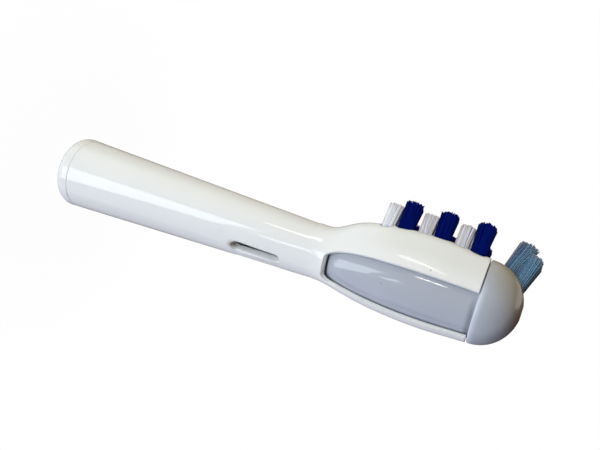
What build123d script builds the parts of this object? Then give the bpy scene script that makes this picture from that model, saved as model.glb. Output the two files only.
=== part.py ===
"""Electric toothbrush head with a swinging carrier, in millimetres.

It stands on its base rim. +Z runs up the neck along the drive axis, the bristles point to -Y,
and the origin is the centre of the socket's mouth.
"""
from build123d import *
import os
from collections import namedtuple
from math import cos, radians, sin, sqrt

# Base, collar and neck
COLLAR_HEIGHT = 2.8
RIM_LAND = 0.7
SEAM_CHAMFER = 0.07
NECK_TOP_DIAMETER = 9.2
NECK_LENGTH = 50.0
NECK_WALL = 1.35

# Socket for the handle's post
SOCKET_DIAMETER = 8.0
SLEEVE_WALL = 1.21
SOCKET_DEPTH = 16.5
SOCKET_LEAD_IN = 0.4
KEYWAY_WIDTH = 2.0
KEYWAY_DEPTH = 0.4
INSERT_FIT = 0.04

# Drive train inside the neck
COUPLING_GAP = 1.0
COUPLING_DIAMETER = 6.4
COUPLING_LENGTH = 12.5
COUPLING_TAPER_LENGTH = 3.0
PIN_BORE_DIAMETER = 3.9
PIN_BORE_DEPTH = 10.0
SLIT_WIDTH = 0.6
SLIT_DEPTH = 6.5
CLIP_OFFSET = 2.0
CLIP_HEIGHT = 1.6
CLIP_THICKNESS = 0.45
CLIP_OPENING = 60.0
CLIP_FIT = 0.02
STEM_DIAMETER = 4.8
SHAFT_DIAMETER = 3.0
SHAFT_INTO_CARRIER = 11.0
SHAFT_PRESS_FIT = 0.005
JOURNAL_CLEARANCE = 0.05
END_PLAY = 0.3
WEB_DROP = 2.5

# Head frame: heights above the neck's top, back radius, front reach and front corner of each station
SHOULDER_FOOT = 3.0
SHOULDER_TOP = 7.0
DECK_START = 12.0
HEAD_WIDEST = 20.0
HEAD_SEAM = 28.2
FOOT_RADIUS = 4.62
FOOT_REACH = 4.67
FOOT_CORNER = 3.8
SHOULDER_RADIUS = 5.35
SHOULDER_REACH = 6.17
SHOULDER_CORNER = 2.6
DECK_RADIUS = 6.1
DECK_REACH = 6.83
WIDEST_RADIUS = 6.5
WIDEST_REACH = 7.07
SEAM_RADIUS = 6.1
SEAM_REACH = 6.45
DECK_CORNER = 2.0
SIDE_LEAN = 8.0
NECK_BLEND = 0.3
HEAD_SECTION_COUNT = 13
BARREL_POINT_COUNT = 5
FRAME_WALL = 0.6
SWING_CLEARANCE = 0.2

# Openings in the housing
WINDOW_START = 3.55
WINDOW_END_RISE = 0.75
WINDOW_END_RUNOUT = 0.05
WINDOW_FRONT = 0.2
WINDOW_BACK_ANGLE = 79.5
WINDOW_BACK_CORNER = 1.4
WINDOW_CURVE_LENGTH = 8.5
WINDOW_CURVE_DEPTH = 2.2
DRAIN_ANGLE = 66.4
DRAIN_HEIGHT = 41.65
DRAIN_LENGTH = 8.6
DRAIN_WIDTH = 1.6
DRAIN_FLARE = 0.5
DRAIN_END_FLARE = 0.3
DRAIN_FLARE_DEPTH = 0.3
DECK_SLOT_WIDTH = 4.8
DECK_SLOT_MARGIN = 0.4
DECK_SLOT_CORNER = 1.2

# Carrier and cap
CAVITY_START = 2.7
HUB_DIAMETER = 5.2
BARREL_START = 4.2
BARREL_START_INSET = 0.85
SEAM_GAP = 0.15
CAP_HEIGHT = 6.3
CAP_CROWN_OFFSET = 0.95
CAP_EDGE_CHAMFER = 0.22
CAP_INSET = 0.08
CAP_LEVELS = (0.0, 0.3, 0.56, 0.78, 0.92, 0.985)

# Tufts
TUFT_ROW_COUNT = 3
TUFT_PITCH = 5.95
TUFT_FIRST = 11.4
TUFT_SPACING = 2.75
TUFT_SIDE = 4.2
TUFT_WIDTH = 2.4
TUFT_SEAT = 1.2
TUFT_FIT = 0.02
TUFT_CORNER = 0.7
WHITE_TUFT_LENGTH = 2.3
WHITE_TUFT_TIP = 10.2
BLUE_TUFT_LENGTH = 2.75
BLUE_TUFT_TIP = 11.55
INNER_TUFT_WIDTH = 2.2
INNER_TUFT_LENGTH = 3.4
INNER_TUFT_TIP = 11.4
TIP_TUFT_WIDTH = 4.8
TIP_TUFT_LENGTH = 2.2
TIP_TUFT_SEAT = 1.6
REAR_TIP_LEAN = 14.0
REAR_TIP_REACH = 5.6
REAR_TIP_HEIGHT = 2.84
REAR_TIP_FOOT = 6.35
FRONT_TIP_LEAN = 19.0
FRONT_TIP_REACH = 5.1
FRONT_TIP_HEIGHT = 5.0
FRONT_TIP_FOOT = 5.05

OVERCUT = 1.0

# Heights worked out from the driving dimensions
neck_top_z = NECK_LENGTH
seam_z = neck_top_z + HEAD_SEAM
cap_z = seam_z + SEAM_GAP
web_bottom_z = neck_top_z - WEB_DROP
cavity_z = neck_top_z + CAVITY_START
barrel_z = neck_top_z + BARREL_START
window_z = neck_top_z + WINDOW_START
coupling_z = SOCKET_DEPTH + COUPLING_GAP
stem_foot_z = coupling_z + COUPLING_LENGTH
stem_top_z = web_bottom_z - END_PLAY
shaft_top_z = barrel_z + SHAFT_INTO_CARRIER

socket_radius = SOCKET_DIAMETER / 2
base_radius = socket_radius + SLEEVE_WALL + INSERT_FIT + NECK_WALL
mouth_radius = socket_radius + SOCKET_LEAD_IN
shaft_radius = SHAFT_DIAMETER / 2

Station = namedtuple("Station", "z radius reach corner")
neck_top_radius = NECK_TOP_DIAMETER / 2
STATIONS = (
    Station(neck_top_z, neck_top_radius, neck_top_radius, neck_top_radius - NECK_BLEND),
    Station(neck_top_z + SHOULDER_FOOT, FOOT_RADIUS, FOOT_REACH, FOOT_CORNER),
    Station(neck_top_z + SHOULDER_TOP, SHOULDER_RADIUS, SHOULDER_REACH, SHOULDER_CORNER),
    Station(neck_top_z + DECK_START, DECK_RADIUS, DECK_REACH, DECK_CORNER),
    Station(neck_top_z + HEAD_WIDEST, WIDEST_RADIUS, WIDEST_REACH, DECK_CORNER),
    Station(seam_z, SEAM_RADIUS, SEAM_REACH, DECK_CORNER),
)


def slope(index):
    """Rise of every value of a station for each millimetre of height."""
    low = STATIONS[max(index - 1, 0)]
    high = STATIONS[min(index + 1, len(STATIONS) - 1)]
    return [(b - a) / (high.z - low.z) for a, b in zip(low, high)]


def station_at(z):
    """Head section at any height, on a smooth curve through the stations."""
    index = max(i for i, s in enumerate(STATIONS[:-1]) if s.z <= z)
    low, high = STATIONS[index], STATIONS[index + 1]
    span = high.z - low.z
    u = (z - low.z) / span
    values = [
        a * (1 + 2 * u) * (1 - u) ** 2 + b * u * u * (3 - 2 * u) + span * u * (1 - u) * (m * (1 - u) - n * u)
        for a, b, m, n in zip(low, high, slope(index), slope(index + 1))
    ]
    return Station(z, *values[1:])


def spread(low, high, count):
    """Evenly spaced heights, both ends included."""
    return [low + (high - low) * i / (count - 1) for i in range(count)]


def neck_radius(z):
    """Outer radius of the tapered neck at a height."""
    return base_radius + (neck_top_radius - base_radius) * z / neck_top_z


def revolved(points):
    """Solid of revolution about the drive axis from (radius, height) corners."""
    profile = Plane.XZ * make_face(Polyline(*points, close=True))
    return revolve(profile, axis=Axis.Z)


def tube(bottom, top, inner, outer):
    return revolved([(inner, bottom), (outer, bottom), (outer, top), (inner, top)])


def rod(bottom, top, radius):
    return Pos(0, 0, bottom) * extrude(Circle(radius), top - bottom)


def head_section(station, z, size=1.0):
    """Head cross-section: half round behind the axis, sides that lean in, rounded front corners."""
    lean = sin(radians(SIDE_LEAN))
    bend = (station.reach - station.corner * (1 - lean)) / lean
    with BuildSketch(Plane.XY) as section:
        with BuildLine():
            side = JernArc((station.radius, 0), (0, -1), bend, -SIDE_LEAN)
            corner = JernArc(side @ 1, side % 1, station.corner, SIDE_LEAN - 90)
            end = corner @ 1
            front = Line(end, (-end.X, end.Y))
            far_corner = JernArc(front @ 1, front % 1, station.corner, SIDE_LEAN - 90)
            JernArc(far_corner @ 1, far_corner % 1, bend, -SIDE_LEAN)
            CenterArc((0, 0), station.radius, 180, -180)
        make_face()
    crown = -CAP_CROWN_OFFSET * (1 - size)
    return Pos(0, crown, z) * scale(section.sketch, size)


def barrel_profile(inset, start_z, start_inset, end_z):
    """Face between the axis and the head's back profile, drawn in by inset."""
    heights = spread(neck_top_z + SHOULDER_TOP, seam_z, BARREL_POINT_COUNT)
    start_radius = SHOULDER_RADIUS - inset - start_inset
    curve = Spline((start_radius, start_z), *[(station_at(z).radius - inset, z) for z in heights])
    end_radius = SEAM_RADIUS - inset
    rest = Polyline(
        (end_radius, seam_z), (end_radius, end_z), (0, end_z), (0, start_z), (start_radius, start_z),
    )
    return Plane.XZ * make_face(curve.edges() + rest.edges())


def tuft_block(foot, direction, width, length, height, corner=TUFT_CORNER):
    """Oblong bundle: its foot's centre, the way it points, its size across and along the head."""
    plane = Plane(origin=foot, x_dir=(1, 0, 0), z_dir=direction)
    return extrude(plane * RectangleRounded(width, length, corner), height)


def outer_tuft(side, z, length, tip, grow=0.0):
    """Fixed tuft seated in the deck, or its hole when it is grown."""
    foot_y = TUFT_SEAT - station_at(z).reach
    return tuft_block(
        (side * TUFT_SIDE, foot_y, z), (0, -1, 0), TUFT_WIDTH + 2 * grow, length + 2 * grow, tip + foot_y,
        TUFT_CORNER + grow,
    )


def white_tuft_z(row):
    return neck_top_z + TUFT_FIRST + row * TUFT_PITCH


def blue_tuft_z(row):
    return white_tuft_z(row) + TUFT_SPACING


def inner_tuft_z(row):
    return (white_tuft_z(row) + blue_tuft_z(row)) / 2


def inner_tuft(row, grow=0.0):
    foot_y = -(SEAM_RADIUS - FRAME_WALL - SWING_CLEARANCE) + TUFT_SEAT
    return tuft_block(
        (0, foot_y, inner_tuft_z(row)), (0, -1, 0), INNER_TUFT_WIDTH + 2 * grow, INNER_TUFT_LENGTH + 2 * grow,
        INNER_TUFT_TIP + foot_y, TUFT_CORNER + grow,
    )


def tip_tuft(lean, foot, height, reach, grow=0.0):
    """Leaning tuft on the cap: foot is its depth from the axis, height its place above the seam."""
    direction = (0, -cos(radians(lean)), sin(radians(lean)))
    seat = Vector(0, -foot, seam_z + height) - Vector(*direction) * TIP_TUFT_SEAT
    return tuft_block(
        seat, direction, TIP_TUFT_WIDTH + 2 * grow, TIP_TUFT_LENGTH + 2 * grow, reach + TIP_TUFT_SEAT,
        TUFT_CORNER + grow,
    )


def rear_tip_tuft(grow=0.0):
    return tip_tuft(REAR_TIP_LEAN, REAR_TIP_FOOT, REAR_TIP_HEIGHT, REAR_TIP_REACH, grow)


def front_tip_tuft(grow=0.0):
    return tip_tuft(FRONT_TIP_LEAN, FRONT_TIP_FOOT, FRONT_TIP_HEIGHT, FRONT_TIP_REACH, grow)


def both_sides(shape):
    return shape + mirror(shape, Plane.YZ)


def side_window():
    """Opening in the frame's wall, open at the seam, with a sloped end and a front edge that curves back."""
    inner = SHOULDER_RADIUS - FRAME_WALL - BARREL_START_INSET
    outer = WIDEST_RADIUS + OVERCUT
    top = seam_z + OVERCUT
    surface = station_at(window_z).radius
    end = Line((inner, window_z + WINDOW_END_RISE), (surface, window_z))
    reach = end @ ((outer - inner) / (surface - inner))
    profile = Plane.XZ * make_face(Polyline(end @ 0, reach, (outer, top), (inner, top), close=True))
    sector = revolve(profile, axis=Axis.Z, revolution_arc=WINDOW_BACK_ANGLE)
    back = sector.edges().filter_by(GeomType.LINE).group_by(Axis.Z)[0].sort_by(Axis.Y)[-1]
    sector = fillet(back, WINDOW_BACK_CORNER)
    low = window_z - WINDOW_END_RUNOUT
    curve = Bezier(
        (WINDOW_FRONT, window_z + WINDOW_CURVE_LENGTH), (WINDOW_FRONT, low),
        (WINDOW_FRONT + WINDOW_CURVE_DEPTH, low),
    )
    rest = Polyline(curve @ 1, (outer, low), (outer, top), (WINDOW_FRONT, top), curve @ 0)
    side = Plane.YZ * make_face(curve.edges() + rest.edges())
    return sector & extrude(side, outer)


def drain_slot():
    """Round-ended slot through the neck's wall, behind the side, that flares towards the outside."""
    way = Vector(cos(radians(DRAIN_ANGLE)), sin(radians(DRAIN_ANGLE)), 0)
    surface = neck_radius(DRAIN_HEIGHT)

    def section(radius, flare):
        plane = Plane(origin=way * radius + Vector(0, 0, DRAIN_HEIGHT), x_dir=(0, 0, 1), z_dir=way)
        length = DRAIN_LENGTH + 2 * DRAIN_END_FLARE * flare
        return plane * SlotOverall(length, DRAIN_WIDTH + 2 * DRAIN_FLARE * flare)

    hole = extrude(section(0, 0), surface)
    return hole + loft([section(surface + DRAIN_FLARE_DEPTH * (flare - 1), flare) for flare in (0, 2)])


def deck_slot():
    """Slot that the sweeping tufts stand in, with room for their swing."""
    margin = INNER_TUFT_LENGTH / 2 + DECK_SLOT_MARGIN
    low = inner_tuft_z(0) - margin
    high = inner_tuft_z(TUFT_ROW_COUNT - 1) + margin
    plane = Plane(origin=(0, 0, (low + high) / 2), x_dir=(1, 0, 0), z_dir=(0, -1, 0))
    outline = plane * RectangleRounded(DECK_SLOT_WIDTH, high - low, DECK_SLOT_CORNER)
    return extrude(outline, WIDEST_REACH + OVERCUT)


def outer_tufts():
    """Name and place of each fixed tuft: side, height, size along the head and tip."""
    for name, side in (("left", -1), ("right", 1)):
        for row in range(TUFT_ROW_COUNT):
            yield f"white_tuft_{name}_{row + 1}", side, white_tuft_z(row), WHITE_TUFT_LENGTH, WHITE_TUFT_TIP
            yield f"blue_tuft_{name}_{row + 1}", side, blue_tuft_z(row), BLUE_TUFT_LENGTH, BLUE_TUFT_TIP


def neck_housing():
    """Tapered hollow neck and head frame, one moulding."""
    neck = revolved([
        (0, COLLAR_HEIGHT), (neck_radius(COLLAR_HEIGHT) - SEAM_CHAMFER, COLLAR_HEIGHT),
        (neck_radius(COLLAR_HEIGHT + SEAM_CHAMFER), COLLAR_HEIGHT + SEAM_CHAMFER),
        (neck_top_radius, neck_top_z), (0, neck_top_z),
    ])
    head = loft([head_section(station_at(z), z) for z in spread(neck_top_z, seam_z, HEAD_SECTION_COUNT)])
    bore = revolved([
        (0, COLLAR_HEIGHT), (neck_radius(COLLAR_HEIGHT) - NECK_WALL, COLLAR_HEIGHT),
        (neck_radius(web_bottom_z) - NECK_WALL, web_bottom_z), (0, web_bottom_z),
    ])
    journal = rod(web_bottom_z - OVERCUT, cavity_z + OVERCUT, shaft_radius + JOURNAL_CLEARANCE)
    cavity = revolve(barrel_profile(FRAME_WALL, cavity_z, BARREL_START_INSET, seam_z + OVERCUT), axis=Axis.Z)
    body = neck + head - bore - journal - cavity
    body -= both_sides(side_window())
    body -= both_sides(drain_slot())
    body -= deck_slot()
    for _, side, z, length, tip in outer_tufts():
        body -= outer_tuft(side, z, length, tip, TUFT_FIT)
    return body


def socket_insert():
    """Collar and sleeve that take the handle's post, one moulding."""
    sleeve = revolved([
        (socket_radius, COLLAR_HEIGHT), (neck_radius(COLLAR_HEIGHT) - NECK_WALL - INSERT_FIT, COLLAR_HEIGHT),
        (neck_radius(SOCKET_DEPTH) - NECK_WALL - INSERT_FIT, SOCKET_DEPTH), (socket_radius, SOCKET_DEPTH),
    ])
    collar = revolved([
        (mouth_radius, 0), (base_radius, 0),
        (neck_radius(COLLAR_HEIGHT - SEAM_CHAMFER), COLLAR_HEIGHT - SEAM_CHAMFER),
        (neck_radius(COLLAR_HEIGHT) - SEAM_CHAMFER, COLLAR_HEIGHT),
        (socket_radius, COLLAR_HEIGHT), (socket_radius, SOCKET_LEAD_IN),
    ])
    rim = collar.edges().group_by(Axis.Z)[0].sort_by(SortBy.LENGTH)[-1]
    collar = fillet(rim, base_radius - mouth_radius - RIM_LAND)
    keyway = Box(KEYWAY_WIDTH, 2 * KEYWAY_DEPTH, SOCKET_DEPTH + OVERCUT)
    return collar + sleeve - Pos(0, -socket_radius, SOCKET_DEPTH / 2) * keyway


def shaft_coupling():
    """Slit socket for the handle's drive pin, tapering into the stem that holds the shaft."""
    outer = COUPLING_DIAMETER / 2
    stem = STEM_DIAMETER / 2
    body = revolved([
        (0, coupling_z), (outer, coupling_z), (outer, stem_foot_z),
        (stem, stem_foot_z + COUPLING_TAPER_LENGTH), (stem, stem_top_z), (0, stem_top_z),
    ])
    body -= rod(coupling_z - OVERCUT, coupling_z + PIN_BORE_DEPTH, PIN_BORE_DIAMETER / 2)
    body -= rod(stem_foot_z, stem_top_z + OVERCUT, shaft_radius + SHAFT_PRESS_FIT)
    body -= Pos(0, 0, coupling_z) * Box(COUPLING_DIAMETER + OVERCUT, SLIT_WIDTH, 2 * SLIT_DEPTH)
    groove = coupling_z + CLIP_OFFSET
    return body - tube(groove, groove + CLIP_HEIGHT, outer - CLIP_THICKNESS, outer + OVERCUT)


def coupling_clip():
    """Split spring ring in the coupling's groove."""
    outer = COUPLING_DIAMETER / 2
    inner = outer - CLIP_THICKNESS + CLIP_FIT
    low = coupling_z + CLIP_OFFSET + CLIP_FIT
    high = low + CLIP_HEIGHT - 2 * CLIP_FIT
    profile = make_face(Polyline((inner, low), (outer, low), (outer, high), (inner, high), close=True))
    ring = revolve(Plane.XZ * profile, axis=Axis.Z, revolution_arc=360 - CLIP_OPENING)
    return Rot(0, 0, 90 + CLIP_OPENING / 2) * ring


def drive_shaft():
    return rod(stem_foot_z, shaft_top_z, shaft_radius)


def tip_cap():
    """Dome that carries the frame's section on to the tip, with a broken edge at the seam."""
    seam = STATIONS[-1]
    station = Station(cap_z, seam.radius - CAP_INSET, seam.reach - CAP_INSET, seam.corner)
    foot = Station(cap_z, *[value - CAP_EDGE_CHAMFER for value in station[1:]])
    edge_z = cap_z + CAP_EDGE_CHAMFER
    dome = loft([head_section(station, edge_z + CAP_HEIGHT * u, sqrt(1 - u * u)) for u in CAP_LEVELS])
    return dome + loft([head_section(foot, cap_z), head_section(station, edge_z)], ruled=True)


def swing_carrier():
    """Barrel behind the windows, hub at the neck and domed tip cap, one moulding."""
    inset = FRAME_WALL + SWING_CLEARANCE
    body = revolve(barrel_profile(inset, barrel_z, BARREL_START_INSET, cap_z), axis=Axis.Z)
    body += rod(cavity_z + END_PLAY, barrel_z + OVERCUT, HUB_DIAMETER / 2)
    body += tip_cap()
    body -= rod(cavity_z, shaft_top_z, shaft_radius + SHAFT_PRESS_FIT)
    for row in range(TUFT_ROW_COUNT):
        body -= inner_tuft(row, TUFT_FIT)
    return body - rear_tip_tuft(TUFT_FIT) - front_tip_tuft(TUFT_FIT)


def main():
    nodes = {
        "neck_housing": neck_housing(),
        "socket_insert": socket_insert(),
        "shaft_coupling": shaft_coupling(),
        "coupling_clip": coupling_clip(),
        "drive_shaft": drive_shaft(),
        "swing_carrier": swing_carrier(),
        "tip_tuft_rear": rear_tip_tuft(),
        "tip_tuft_front": front_tip_tuft(),
    }
    for row in range(TUFT_ROW_COUNT):
        nodes[f"inner_tuft_{row + 1}"] = inner_tuft(row)
    for name, side, z, length, tip in outer_tufts():
        nodes[name] = outer_tuft(side, z, length, tip)
    os.makedirs("parts", exist_ok=True)
    for name, shape in nodes.items():
        export_step(shape, f"parts/{name}.step")


main()
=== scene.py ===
import math
import random
from collections import namedtuple

import bpy
from mathutils import Matrix, Vector

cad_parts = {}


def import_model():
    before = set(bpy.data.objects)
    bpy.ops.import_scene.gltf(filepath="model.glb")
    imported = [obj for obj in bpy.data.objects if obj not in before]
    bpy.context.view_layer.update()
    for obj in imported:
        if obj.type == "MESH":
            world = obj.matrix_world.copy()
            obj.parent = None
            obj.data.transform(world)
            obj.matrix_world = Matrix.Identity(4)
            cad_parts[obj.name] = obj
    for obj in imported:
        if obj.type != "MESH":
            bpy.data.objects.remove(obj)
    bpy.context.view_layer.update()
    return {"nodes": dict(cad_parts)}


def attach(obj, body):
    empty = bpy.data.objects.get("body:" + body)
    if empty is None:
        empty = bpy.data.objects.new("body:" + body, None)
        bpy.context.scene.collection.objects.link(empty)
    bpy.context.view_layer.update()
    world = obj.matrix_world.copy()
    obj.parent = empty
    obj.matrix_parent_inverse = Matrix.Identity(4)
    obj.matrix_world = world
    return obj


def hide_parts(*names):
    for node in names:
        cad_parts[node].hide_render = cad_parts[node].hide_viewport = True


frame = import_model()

nodes = frame["nodes"]
scene = bpy.context.scene
MM = 0.001
scene.view_settings.view_transform = "Standard"

# The camera: its place, the way it looks and the picture's up, in the part's frame
CAMERA_PLACE = Vector((0.1005753, 0.0366064, 0.08253))
LOOK = Vector((-0.880024, -0.351511, -0.31937))
UP = Vector((0.444781, -0.84576, -0.294719))
RIGHT = LOOK.cross(UP)
LENS = 39.6
SENSOR = 36.0
NEAREST, FARTHEST = 0.005, 20.0

# The object's middle, and places on it whose reflections are aimed
CENTRE = Vector((0.0, 0.0, 0.045))
NECK_END = Vector((4.7, -0.1, 48.0)) * MM
DECK_MIDDLE = Vector((6.5, -0.9, 68.7)) * MM
PANEL_START = Vector((4.5, 2.2, 60.0)) * MM
PANEL_MIDDLE = Vector((5.6, 1.0, 71.2)) * MM
CAP_EDGE = Vector((3.7, -2.2, 83.4)) * MM


def new_object(name, data):
    obj = bpy.data.objects.new(name, data)
    scene.collection.objects.link(obj)
    return obj


def aim(obj, place, across, up, away):
    """Put a camera or a light at a place, with its back turned away from what it looks at."""
    turn = Matrix((across, up, away)).transposed().to_4x4()
    obj.matrix_world = Matrix.Translation(place) @ turn


def hide_from(obj, *rays):
    for ray in rays:
        setattr(obj, "visible_" + ray, False)


def camera():
    """The photo's camera."""
    data = bpy.data.cameras.new("camera")
    data.lens = LENS
    data.sensor_width = SENSOR
    data.sensor_fit = "HORIZONTAL"
    data.clip_start = NEAREST
    data.clip_end = FARTHEST
    obj = new_object("camera", data)
    aim(obj, CAMERA_PLACE, RIGHT, UP, -LOOK)
    scene.camera = obj


def seen_from_photo(right, up, back):
    """A direction or offset given along the picture's right, up and towards the camera."""
    return RIGHT * right + UP * up - LOOK * back


class Nodes:
    """Short hand for building a node tree."""

    def __init__(self, tree):
        self.tree = tree
        tree.nodes.clear()

    def add(self, kind, inputs=None, **settings):
        node = self.tree.nodes.new(kind)
        for name, value in settings.items():
            setattr(node, name, value)
        for name, value in (inputs or {}).items():
            self.put(node, name, value)
        return node

    def put(self, node, name, value):
        self.feed(node.inputs[name], value)

    def feed(self, socket, value):
        if isinstance(value, bpy.types.NodeSocket):
            self.tree.links.new(value, socket)
        else:
            socket.default_value = value

    def math(self, operation, *values):
        return self.add("ShaderNodeMath", dict(enumerate(values)), operation=operation).outputs[0]

    def vector(self, operation, *values, output="Value"):
        node = self.add("ShaderNodeVectorMath", dict(enumerate(values)), operation=operation)
        return node.outputs[output]

    def mix(self, factor, a, b, kind="RGBA"):
        node = self.add("ShaderNodeMix", data_type=kind)
        for socket, value in zip([s for s in node.inputs if s.enabled], (factor, a, b)):
            self.feed(socket, value)
        return [s for s in node.outputs if s.enabled][0]

    def span(self, value, low, high, to_low=0.0, to_high=1.0, smooth=True):
        """A value's way from one end to the other, eased at both ends if smooth."""
        ends = dict(enumerate((value, low, high, to_low, to_high)))
        kind = "SMOOTHSTEP" if smooth else "LINEAR"
        return self.add("ShaderNodeMapRange", ends, interpolation_type=kind).outputs[0]

    def noise(self, place, scale, detail):
        inputs = {"Vector": place, "Scale": scale, "Detail": detail}
        return self.add("ShaderNodeTexNoise", inputs).outputs["Fac"]

    def place(self):
        """The shaded point in the frame of its own object."""
        return self.add("ShaderNodeTexCoord").outputs["Object"]

    def blend(self, share, a, b):
        return self.add("ShaderNodeMixShader", {0: share, 1: a.outputs[0], 2: b.outputs[0]}).outputs[0]

    def background_share(self):
        """1 for what the camera, gloss and glass see of the background, 0 for the light on the object."""
        path = self.add("ShaderNodeLightPath").outputs
        share = self.math("MAXIMUM", path["Is Camera Ray"], path["Is Glossy Ray"])
        return self.math("MAXIMUM", share, path["Is Transmission Ray"])


def new_material(name):
    material = bpy.data.materials.new(name)
    material.use_nodes = True
    return material, Nodes(material.node_tree)


WHITE = (1.0, 1.0, 1.0, 1.0)
TOP_LIGHT = (0.12, 0.12, 0.12, 1.0)
LOW_LIGHT = (1.89, 1.94, 2.18, 1.0)
DIM_WARM = (0.42, 0.3, 0.17, 1.0)
DIM_DARK = (0.0, 0.0, 0.0, 1.0)

# Where the world's light turns from one tone to the next, by a direction's share of the picture's up
# for the first two and of +Z for the last
FOOT_TO_TOP = (-0.7, 0.7)
DARK_TO_WARM = (-0.2, 0.5)
LOW_TO_DIM = (-0.35, 0.1)


def world():
    """White to the camera. Its light comes from below, most from the picture's foot, and is dim above."""
    made = bpy.data.worlds.new("world")
    scene.world = made
    made.use_nodes = True
    n = Nodes(made.node_tree)
    way = n.add("ShaderNodeTexCoord").outputs["Generated"]
    height = n.vector("DOT_PRODUCT", way, UP)
    rise = n.add("ShaderNodeSeparateXYZ", {0: way}).outputs["Z"]
    low = n.mix(n.span(height, *FOOT_TO_TOP), LOW_LIGHT, TOP_LIGHT)
    dim = n.mix(n.span(height, *DARK_TO_WARM), DIM_DARK, DIM_WARM)
    colour = n.mix(n.span(rise, *LOW_TO_DIM), low, dim)
    light = n.add("ShaderNodeBackground", {"Color": colour, "Strength": 1.0})
    white = n.add("ShaderNodeBackground", {"Color": WHITE, "Strength": 1.0})
    n.add("ShaderNodeOutputWorld", {"Surface": n.blend(n.background_share(), light, white)})


def stage_sheet(name, corners, material):
    mesh = bpy.data.meshes.new(name)
    mesh.from_pydata(corners, [], [range(len(corners))])
    mesh.materials.append(material)
    obj = new_object(name, mesh)
    return obj


FLOOR_REACH = 3.0
FLOOR_COLOUR = (0.9, 0.9, 0.9, 1.0)
SHADOW_REACH = (0.007, 0.05)
WHITE_SHARE = (0.98, 1.0)


def floor():
    """Pale floor that the head stands on. It keeps the soft shadow at the base and is white further out."""
    material, n = new_material("floor")
    away = n.vector("LENGTH", n.place())
    share = n.math("MULTIPLY", n.background_share(), n.span(away, *SHADOW_REACH, *WHITE_SHARE))
    pale = n.add("ShaderNodeBsdfDiffuse", {"Color": FLOOR_COLOUR})
    white = n.add("ShaderNodeEmission", {"Color": WHITE, "Strength": 1.0})
    n.add("ShaderNodeOutputMaterial", {"Surface": n.blend(share, pale, white)})
    corners = [Vector((x, y, 0)) * FLOOR_REACH for x, y in ((-1, -1), (1, -1), (1, 1), (-1, 1))]
    hide_from(stage_sheet("floor", corners, material), "glossy", "diffuse", "shadow")


# Soft square lights: the way to each from the object's middle in picture axes, its distance and side
# in metres, its radiance and its colour
AREA_LIGHTS = (
    ("key", (-0.5, 0.2, 0.84), 0.3, 0.21, 3.02, (0.875, 0.945, 1.0)),
    ("top", (-0.1, 0.9, 0.3), 0.4, 0.3, 2.43, (0.945, 1.0, 0.93)),
    ("rear", (0.0, 0.1, -1.0), 0.5, 0.3, 1.6, (1.0, 0.98, 0.95)),
    ("front", (0.52, 0.6, -0.6), 0.4, 0.3, 1.3, (1.0, 0.97, 0.92)),
)

DAYLIGHT = (0.86, 0.95, 1.0, 1.0)
LAMPLIGHT = (1.0, 0.98, 0.9, 1.0)
LOW_LAMPLIGHT = (1.0, 0.96, 0.86, 1.0)
CAP_LAMPLIGHT = (1.0, 0.96, 0.92, 1.0)
TABLE_BROWN = (0.09, 0.03, 0.03, 1.0)

# What the gloss reflects: the point that each card is set from, a length in metres, a colour, a strength,
# and its corners in picture axes, as multiples of that length. The blind hides the neck's lamp from
# the shoulder.
GLOSS_CARDS = (
    ("window", PANEL_START, 0.5, DAYLIGHT, 5.6,
     ((-0.54, 0.29, 0.79), (-0.85, 0.29, 0.43), (-0.95, -0.25, 0.2), (-0.72, -0.08, 0.69))),
    ("pane", PANEL_START, 0.5, DAYLIGHT, 5.6,
     ((-0.66, 0.0, 0.75), (-0.53, 0.13, 0.84), (-0.53, 0.02, 0.85), (-0.62, -0.06, 0.78))),
    ("lamp", DECK_MIDDLE, 0.5, LAMPLIGHT, 6.5,
     ((-0.221, 0.836, 0.503), (0.019, 0.758, 0.652), (0.016, 0.746, 0.666), (-0.225, 0.826, 0.517))),
    ("low_lamp", PANEL_MIDDLE, 0.1, LOW_LAMPLIGHT, 19.0,
     ((-0.29, 0.582, 0.76), (-0.115, 0.512, 0.851), (-0.135, 0.46, 0.877), (-0.31, 0.532, 0.788))),
    ("neck_lamp", NECK_END, 0.1, LAMPLIGHT, 8.0,
     ((-0.27, 0.86, 0.43), (-0.14, 0.86, 0.49), (-0.14, 0.81, 0.57), (-0.27, 0.78, 0.57))),
    ("blind", NECK_END, MM, WHITE, 1.0,
     ((3, 2, 13.3), (12, 2, 16.8), (12, 9, 5.6), (3, 9, 2.2))),
    ("cap_lamp", CAP_EDGE, 0.03, CAP_LAMPLIGHT, 1.9,
     ((0.91, 0.34, 0.02), (0.98, -0.2, 0.02), (0.88, -0.2, -0.44), (0.82, 0.34, -0.44))),
    ("table_behind", CENTRE, 0.06, TABLE_BROWN, 1.0,
     ((-9, -9, -1), (9, -9, -1), (9, 9, -1), (-9, 9, -1))),
    ("table_beside", CENTRE, 0.08, TABLE_BROWN, 1.0,
     ((1, -2, -2), (1, -2, 0.3), (1, 0.7, 0.3), (1, 0.7, -2))),
    ("table_below", CENTRE, 0.08, TABLE_BROWN, 1.0,
     ((-0.4, -1, -2), (2, -1, -2), (2, -1, 0.2), (-0.4, -1, 0.2))),
)


def area_light(name, way, distance, side, radiance, colour):
    """Light that faces the object's middle and is seen neither directly nor in the gloss."""
    data = bpy.data.lights.new(name, "AREA")
    data.shape = "SQUARE"
    data.size = side
    data.energy = radiance * math.pi * side * side
    data.color = colour
    place = CENTRE + seen_from_photo(*way) * distance
    away = (place - CENTRE).normalized()
    across = UP.cross(away).normalized()
    obj = new_object(name, data)
    aim(obj, place, across, away.cross(across), away)
    hide_from(obj, "camera", "glossy")


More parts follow.
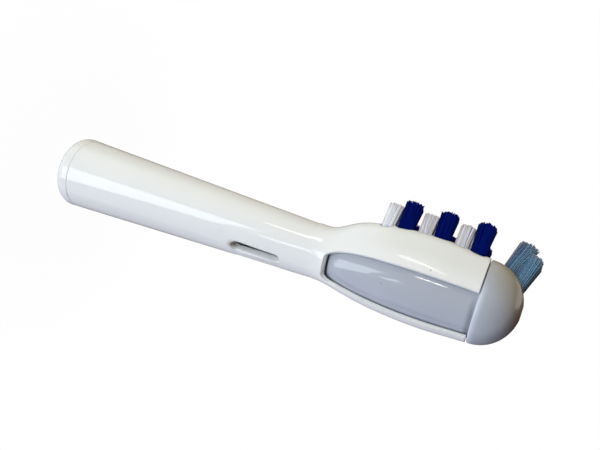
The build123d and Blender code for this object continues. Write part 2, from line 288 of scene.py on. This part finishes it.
def gloss_card(name, origin, length, colour, strength, corners):
    """Sheet that only the gloss sees."""
    material, n = new_material(name)
    glow = n.add("ShaderNodeEmission", {"Color": colour, "Strength": strength})
    n.add("ShaderNodeOutputMaterial", {"Surface": glow.outputs[0]})
    obj = stage_sheet(name, [origin + seen_from_photo(*corner) * length for corner in corners], material)
    hide_from(obj, "camera", "diffuse", "transmission", "shadow")


def lights():
    for light in AREA_LIGHTS:
        area_light(*light)
    for card in GLOSS_CARDS:
        gloss_card(*card)


def principled(n, **inputs):
    """A material's shader. The names of its inputs have underscores in place of blanks."""
    named = {name.replace("_", " "): value for name, value in inputs.items()}
    shader = n.add("ShaderNodeBsdfPrincipled", named)
    n.add("ShaderNodeOutputMaterial", {"Surface": shader.outputs[0]})
    return shader


PLASTIC_IOR = 1.49
NYLON_IOR = 1.53
EDGE_ROUNDING = 0.3 * MM
EDGE_SAMPLES = 8
BENT_TO_PLAIN = (0.985, 0.997)
CLOUD_SCALE, GRAIN_SCALE = 90.0, 1600.0
NOISE_MIDDLE = (0.3, 0.7)
GRAIN_STRENGTH, GRAIN_DEPTH = 0.02, 0.1 * MM


def rounded_edges(n):
    """Normals bent round the sharp edges and left alone elsewhere, so that the gloss stays clear."""
    bent = n.add("ShaderNodeBevel", {"Radius": EDGE_ROUNDING}, samples=EDGE_SAMPLES).outputs[0]
    plain = n.add("ShaderNodeNewGeometry").outputs["Normal"]
    likeness = n.vector("DOT_PRODUCT", bent, plain)
    mixed = n.mix(n.span(likeness, *BENT_TO_PLAIN), bent, plain, "VECTOR")
    return n.vector("NORMALIZE", mixed, output="Vector")


Plastic = namedtuple("Plastic", "material n shader place colour gloss")


def moulded_plastic(name, pale, dark, roughness):
    """Gloss plastic with faint flow clouding, fine unevenness and softly rounded edges."""
    material, n = new_material(name)
    place = n.place()
    cloud = n.noise(place, CLOUD_SCALE, 3.0)
    grain = n.noise(place, GRAIN_SCALE, 2.0)
    colour = n.mix(n.span(cloud, *NOISE_MIDDLE), dark, pale)
    gloss = n.span(grain, *NOISE_MIDDLE, roughness * 0.85, roughness * 1.15)
    uneven = {"Height": grain, "Strength": GRAIN_STRENGTH, "Distance": GRAIN_DEPTH}
    bump = n.add("ShaderNodeBump", {**uneven, "Normal": rounded_edges(n)}).outputs[0]
    shader = principled(n, Base_Color=colour, Roughness=gloss, Normal=bump, IOR=PLASTIC_IOR)
    return Plastic(material, n, shader, place, colour, gloss)


STEEL_MARKS = (300, 300, 9000)


def steel(name, colour, roughness):
    """Drawn steel with fine marks round it."""
    material, n = new_material(name)
    stretched = n.add("ShaderNodeMapping", {"Vector": n.place(), "Scale": STEEL_MARKS}).outputs[0]
    marks = n.noise(stretched, 1.0, 2.0)
    gloss = n.span(marks, *NOISE_MIDDLE, roughness * 0.8, roughness * 1.3)
    principled(n, Base_Color=colour, Metallic=1.0, Roughness=gloss)
    return material


WEAR_SCALE = 1800.0
WORN_FROM = 0.65
WEAR_AND_PAINTED_LIGHT_TONE = 0.3
NYLON_ROUGHNESS = (0.3, 0.45)


def bristle(name, dark, pale, tip, shine):
    """Nylon filaments, each with a tone of its own. The lowest tones and the tips take the worn colour,
    which at a tuft's edge is painted reflection and in shaded rows painted shade.
    """
    material, n = new_material(name)
    tone = n.add("ShaderNodeAttribute", attribute_name="tone").outputs["Fac"]
    height = n.add("ShaderNodeAttribute", attribute_name="height").outputs["Fac"]
    wear = n.noise(n.place(), WEAR_SCALE, 1.0)
    worn = n.math("MULTIPLY", n.span(height, WORN_FROM, 1.0), n.span(wear, 0.3, 0.65, 0.1, 0.55))
    clean = n.mix(n.span(tone, 0.0, WEAR_AND_PAINTED_LIGHT_TONE), tip, n.mix(tone, dark, pale))
    colour = n.mix(worn, clean, tip)
    gloss = n.span(wear, *NOISE_MIDDLE, *NYLON_ROUGHNESS)
    principled(n, Base_Color=colour, Roughness=gloss, IOR=NYLON_IOR, Specular_IOR_Level=shine)
    return material


# Filaments and how they stand in a tuft's hole
FILAMENT_RADIUS = 0.09 * MM
FILAMENT_SIDES = 5
FILAMENT_RINGS = 7
FILAMENT_PITCH = 0.165 * MM
TIP_ROUNDING = 0.55
HOLE_CORNER = 0.7 * MM
DISORDER = 0.2

# How much of the unevenness goes over the tuft's height, how late a filament splays, what its tone is
# made of, and how steeply the tone rises from the edge on the neck's side, whose low tones are a painted
# brown reflection
OVERLONG = 0.4
SPLAY_POWER = 1.4
LEAST_TONE, CLUMP_TONE, OWN_TONE = 0.2, 0.4, 0.4
EDGE_REFLECTION_RISE = 3

# A kind of tuft: its lean in degrees, then in metres how uneven its length is, how far its middle stands
# above its edges, how far its tips spread across and along the head, their drift and stray, and a clump's
# width, and last its share of the pale tone
Tuft = namedtuple("Tuft", "lean uneven dome across along drift stray clump tone")
WHITE_TUFT = Tuft(lean=0, uneven=0.16 * MM, dome=0.0, across=0.05 * MM, along=0.14 * MM,
                  drift=0.16 * MM, stray=0.04 * MM, clump=0.5 * MM, tone=1.0)
# Rows 2 and 3 take half the pale tone: painted shade from the blue tufts beside them
SHADED_WHITE_TUFT = WHITE_TUFT._replace(tone=0.5)
BLUE_TUFT = WHITE_TUFT._replace(dome=0.4 * MM, along=0.22 * MM, drift=0.08 * MM, stray=0.07 * MM)
REAR_TIP_TUFT = Tuft(lean=14, uneven=0.16 * MM, dome=0.2 * MM, across=0.1 * MM, along=0.55 * MM,
                     drift=0.65 * MM, stray=0.05 * MM, clump=0.4 * MM, tone=1.0)
FRONT_TIP_TUFT = REAR_TIP_TUFT._replace(lean=19, drift=-REAR_TIP_TUFT.drift)


def tuft_axes(lean):
    """A tuft's own axes: across the head, along it and the way its bristles point."""
    way = Vector((0, -math.cos(math.radians(lean)), math.sin(math.radians(lean))))
    across = Vector((1, 0, 0))
    return across, way.cross(across), way


def extent(name, axis):
    """Lowest and highest place of a CAD node along an axis."""
    node = nodes[name]
    places = [(node.matrix_world @ v.co).dot(axis) for v in node.data.vertices]
    return min(places), max(places)


def filament_feet(width, length, rng):
    """Places of the filaments in the tuft's hole: offset rows with a little disorder."""
    row_pitch = FILAMENT_PITCH * math.sqrt(0.75)
    half_width = width / 2 - FILAMENT_RADIUS
    half_length = length / 2 - FILAMENT_RADIUS
    rows = int(half_length / row_pitch)
    columns = int(half_width / FILAMENT_PITCH)
    for row in range(-rows, rows + 1):
        for column in range(-columns, columns + 1):
            a = (column + 0.5 * (row % 2) + rng.uniform(-DISORDER, DISORDER)) * FILAMENT_PITCH
            b = row * row_pitch + rng.uniform(-DISORDER, DISORDER) * FILAMENT_PITCH
            past_a = max(abs(a) - half_width + HOLE_CORNER, 0)
            past_b = max(abs(b) - half_length + HOLE_CORNER, 0)
            if math.hypot(past_a, past_b) < HOLE_CORNER:
                yield a, b


class Bundle:
    """Mesh of round filaments. Its points know their filament's tone and how far up it they are."""

    def __init__(self, across, along):
        angles = [2 * math.pi * i / FILAMENT_SIDES for i in range(FILAMENT_SIDES)]
        self.ring = [(across * math.cos(a) + along * math.sin(a)) * FILAMENT_RADIUS for a in angles]
        self.points = []
        self.faces = []
        self.tones = []
        self.heights = []

    def filament(self, spine, tone):
        first = len(self.points)
        last_ring = len(spine) - 1
        for i, middle in enumerate(spine):
            size = TIP_ROUNDING if i == last_ring else 1.0
            self.points += [middle + corner * size for corner in self.ring]
            self.tones += [tone] * FILAMENT_SIDES
            self.heights += [i / last_ring] * FILAMENT_SIDES
        for start in range(first, len(self.points) - FILAMENT_SIDES, FILAMENT_SIDES):
            for i in range(FILAMENT_SIDES):
                low, next_low = start + i, start + (i + 1) % FILAMENT_SIDES
                self.faces.append((low, next_low, next_low + FILAMENT_SIDES, low + FILAMENT_SIDES))
        self.faces.append(range(first + FILAMENT_SIDES - 1, first - 1, -1))
        self.faces.append(range(len(self.points) - FILAMENT_SIDES, len(self.points)))

    def piece(self, name, material):
        mesh = bpy.data.meshes.new(name)
        mesh.from_pydata(self.points, [], self.faces)
        for attribute, values in (("tone", self.tones), ("height", self.heights)):
            mesh.attributes.new(attribute, "FLOAT", "POINT").data.foreach_set("value", values)
        mesh.materials.append(material)
        mesh.shade_smooth()
        return new_object(name, mesh)


def tuft(node, kind, body, material):
    """Bundle of filaments in place of a CAD tuft."""
    rng = random.Random(node)
    across, along, way = tuft_axes(kind.lean)
    (left, right), (low, high), (foot, tip) = [extent(node, axis) for axis in (across, along, way)]
    middle = across * (left + right) / 2 + along * (low + high) / 2 + way * foot
    width, length = right - left, high - low
    shares = [i / (FILAMENT_RINGS - 1) for i in range(FILAMENT_RINGS)]
    clumps = {}
    bundle = Bundle(across, along)
    for a, b in filament_feet(width, length, rng):
        reach = tip - foot - kind.dome * (2 * b / length) ** 2
        reach += rng.uniform(-kind.uneven, OVERLONG * kind.uneven)
        lean = across * (kind.across * 2 * a / width + rng.gauss(0, kind.stray))
        lean += along * (kind.along * 2 * b / length + kind.drift + rng.gauss(0, kind.stray))
        start = middle + across * a + along * b
        spine = [start + way * reach * s + lean * s ** SPLAY_POWER for s in shares]
        spine.append(spine[-1] + way * FILAMENT_RADIUS)
        clump = clumps.setdefault((round(a / kind.clump), round(b / kind.clump)), rng.random())
        tone = LEAST_TONE + CLUMP_TONE * clump + OWN_TONE * rng.random()
        # Tones fall at the edge on the neck's side, a painted brown reflection, and by kind.tone in shaded
        # rows, painted shade
        bundle.filament(spine, kind.tone * tone * min(1, EDGE_REFLECTION_RISE * (0.5 + b / length)))
    obj = bundle.piece(node + "_bristles", material)
    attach(obj, body)
    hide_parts(node)


def tufts():
    """Fixed tufts down both sides, sweeping tufts between them and two tufts on the cap."""
    white_nylon = bristle(
        "white_bristle", (0.64, 0.65, 0.73, 1), (0.92, 0.96, 1.0, 1), (0.52, 0.38, 0.38, 1), 0.4)
    blue_nylon = bristle(
        "blue_bristle", (0.0002, 0.003, 0.09, 1), (0.0006, 0.009, 0.17, 1), (0.0006, 0.006, 0.12, 1), 0.02)
    tip_nylon = bristle(
        "tip_bristle", (0.015, 0.09, 0.24, 1), (0.2, 0.36, 0.5, 1), (0.4, 0.3, 0.31, 1), 0.1)
    for side in ("left", "right"):
        for row, kind in ((1, WHITE_TUFT), (2, SHADED_WHITE_TUFT), (3, SHADED_WHITE_TUFT)):
            tuft(f"white_tuft_{side}_{row}", kind, "housing", white_nylon)
            tuft(f"blue_tuft_{side}_{row}", BLUE_TUFT, "housing", blue_nylon)
    for row in (1, 2, 3):
        tuft(f"inner_tuft_{row}", WHITE_TUFT, "carrier", white_nylon)
    tuft("tip_tuft_rear", REAR_TIP_TUFT, "carrier", tip_nylon)
    tuft("tip_tuft_front", FRONT_TIP_TUFT, "carrier", tip_nylon)


# Marks on the white plastic: where they lie, and their colours
SLOT_STAIN = Vector((2.1, 4.5, 37.2)) * MM
STAIN_SIZE, STAIN_SOFTNESS = 1.4 * MM, 1.2 * MM
STAIN_SCALE = 1500.0
STAIN_BROWN = (0.4, 0.33, 0.26, 1)
DECK_SPECK = Vector((6.5, -0.6, 70.5)) * MM
DECK_SPECK_COLOUR = (0.3, 0.28, 0.24, 1)
# Painted shade on the deck, darker up the head and towards the tufts
DECK_SHADE_RISE = (56 * MM, 66 * MM)
DECK_SHADE_FRONT = (-0.5 * MM, -3.5 * MM)
DECK_SHADE_WHITE = (0.78, 0.79, 0.765, 1)

# Marks on the grey plastic. The cap takes a painted warm light towards its tufts, by Z less Y, and a painted
# highlight at its rim.
# A painted shadow of the cap lies on the panel beside it, towards the back.
CAP_SEAM = 78.3 * MM
CAP_SATIN = 0.2
CAP_WARM_LIGHT_SPAN = (80 * MM, 86 * MM)
CAP_WARM_LIGHT_GREY = (0.361, 0.332, 0.263, 1)
RIM_HIGHLIGHT_RISE = (79.4 * MM, 78.6 * MM)
RIM_HIGHLIGHT_BACK = (-2.6 * MM, 0.6 * MM)
RIM_HIGHLIGHT_GREY = (0.54, 0.585, 0.67, 1)
CAP_SHADOW_RISE = (77.1 * MM, 78.0 * MM)
CAP_SHADOW_BACK = (-0.5 * MM, 3.5 * MM)
CAP_SHADOW_GREY = (0.21, 0.225, 0.26, 1)
PANEL_SPECK = Vector((4.4, 3.2, 63.8)) * MM
PANEL_SPECK_COLOUR = (0.3, 0.31, 0.33, 1)


def spot(n, place, centre, size, soft):
    """1 at a place on the surface, fading to 0 at the given size."""
    return n.span(n.vector("DISTANCE", place, centre), size - soft, size, 1.0, 0.0)


def white_plastic():
    """White moulding with painted shade on the deck round the bristles, stained drain slots and a dark speck
    on the deck.
    """
    material, n, shader, place, clean, _ = moulded_plastic(
        "white_plastic", (0.85, 0.868, 0.868, 1), (0.83, 0.848, 0.85, 1), 0.05)
    x, y, z = n.add("ShaderNodeSeparateXYZ", {0: place}).outputs
    # Painted shade: the deck darkens up the head and towards the tufts
    painted_lighting = n.math("MULTIPLY", n.span(z, *DECK_SHADE_RISE), n.span(y, *DECK_SHADE_FRONT))
    lit_colour = n.mix(painted_lighting, clean, DECK_SHADE_WHITE)
    mirrored = n.add("ShaderNodeCombineXYZ", {0: n.math("ABSOLUTE", x), 1: y, 2: z}).outputs[0]
    near_slot = spot(n, mirrored, SLOT_STAIN, STAIN_SIZE, STAIN_SOFTNESS)
    patchy = n.span(n.noise(place, STAIN_SCALE, 2.0), 0.2, 0.6, 0.5, 0.9)
    stained = n.mix(n.math("MULTIPLY", near_slot, patchy), lit_colour, STAIN_BROWN)
    speck = spot(n, place, DECK_SPECK, 0.16 * MM, 0.1 * MM)
    n.put(shader, "Base Color", n.mix(speck, stained, DECK_SPECK_COLOUR))
    return material


def grey_plastic():
    """Grey moulding: gloss on the barrel, satin on the cap with painted warm light and a painted rim
    highlight, a painted shadow and a speck on the panel.
    """
    material, n, shader, place, clean, gloss = moulded_plastic(
        "grey_plastic", (0.43, 0.465, 0.535, 1), (0.41, 0.445, 0.515, 1), 0.06)
    _, y, z = n.add("ShaderNodeSeparateXYZ", {0: place}).outputs
    on_cap = n.math("GREATER_THAN", z, CAP_SEAM)
    n.put(shader, "Roughness", n.math("ADD", gloss, n.math("MULTIPLY", on_cap, CAP_SATIN)))
    # Painted highlight along the cap's rim by the seam, strongest towards the back
    rim_highlight = n.math("MULTIPLY", on_cap, n.span(z, *RIM_HIGHLIGHT_RISE))
    rim_highlight = n.math("MULTIPLY", rim_highlight, n.span(y, *RIM_HIGHLIGHT_BACK))
    # Painted warm light on the cap's crown, towards its tufts
    to_tufts = n.span(n.math("SUBTRACT", z, y), *CAP_WARM_LIGHT_SPAN, smooth=False)
    painted_lighting = n.math("MULTIPLY", on_cap, to_tufts)
    lit_colour = n.mix(painted_lighting, n.mix(rim_highlight, clean, RIM_HIGHLIGHT_GREY), CAP_WARM_LIGHT_GREY)
    # Painted shadow of the cap on the panel beside it, deeper towards the back
    by_cap = n.math("SUBTRACT", n.span(z, *CAP_SHADOW_RISE), on_cap)
    cap_shadow = n.math("MULTIPLY", by_cap, n.span(y, *CAP_SHADOW_BACK))
    shadowed = n.mix(cap_shadow, lit_colour, CAP_SHADOW_GREY)
    speck = spot(n, place, PANEL_SPECK, 0.2 * MM, 0.15 * MM)
    n.put(shader, "Base Color", n.mix(speck, shadowed, PANEL_SPECK_COLOUR))
    return material


def dress(name, material):
    mesh = nodes[name].data
    mesh.materials.clear()
    mesh.materials.append(material)


def mouldings():
    """Finishes of the plastic and steel pieces, which keep their CAD shapes."""
    white = white_plastic()
    for name in ("neck_housing", "socket_insert"):
        dress(name, white)
    dress("swing_carrier", grey_plastic())
    acetal = moulded_plastic("coupling_plastic", (0.7, 0.7, 0.66, 1), (0.66, 0.66, 0.62, 1), 0.3)
    dress("shaft_coupling", acetal.material)
    dress("coupling_clip", steel("spring_steel", (0.56, 0.56, 0.55, 1), 0.3))
    dress("drive_shaft", steel("shaft_steel", (0.62, 0.62, 0.62, 1), 0.22))


camera()
world()
floor()
lights()
mouldings()
tufts()
